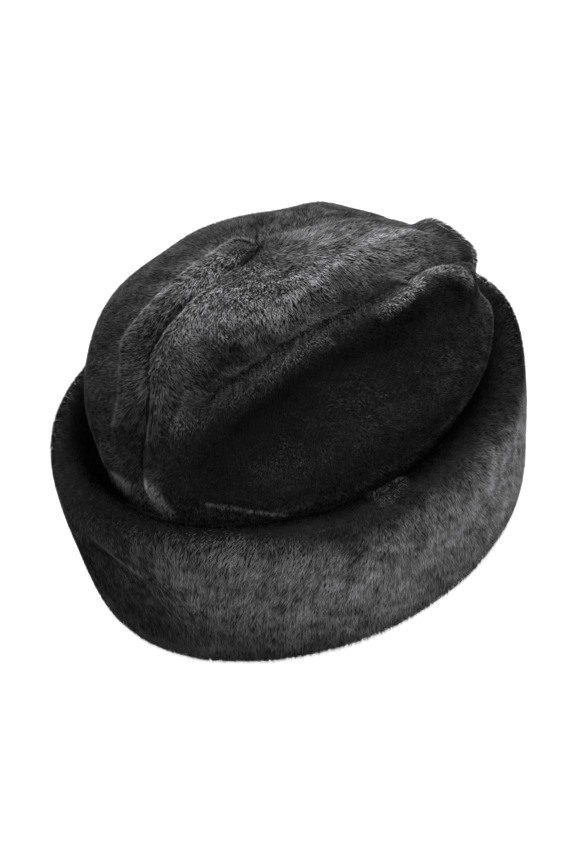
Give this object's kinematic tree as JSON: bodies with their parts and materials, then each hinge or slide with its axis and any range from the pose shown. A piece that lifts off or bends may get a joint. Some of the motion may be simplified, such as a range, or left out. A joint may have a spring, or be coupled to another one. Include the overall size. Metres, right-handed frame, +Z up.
{
  "type": "cossack hat",
  "caption": "Soft fur hat with a domed crown in two halves, sewn from front to back, inside a high turned-up cuff, open below for the head.",
  "frame": {"origin": "middle of the footprint, on the flat foot of the cuff", "axes": "+Z up through the crown, -Y towards the front of the hat, +X towards its left side as worn"},
  "size_m": [0.23, 0.263, 0.1702],
  "materials": {
    "fur": "short soft black pile with a silky sheen"
  },
  "bodies": {
    "root": {"crown_left": "fur", "crown_right": "fur", "cuff": "fur"}
  },
  "joints": []
}
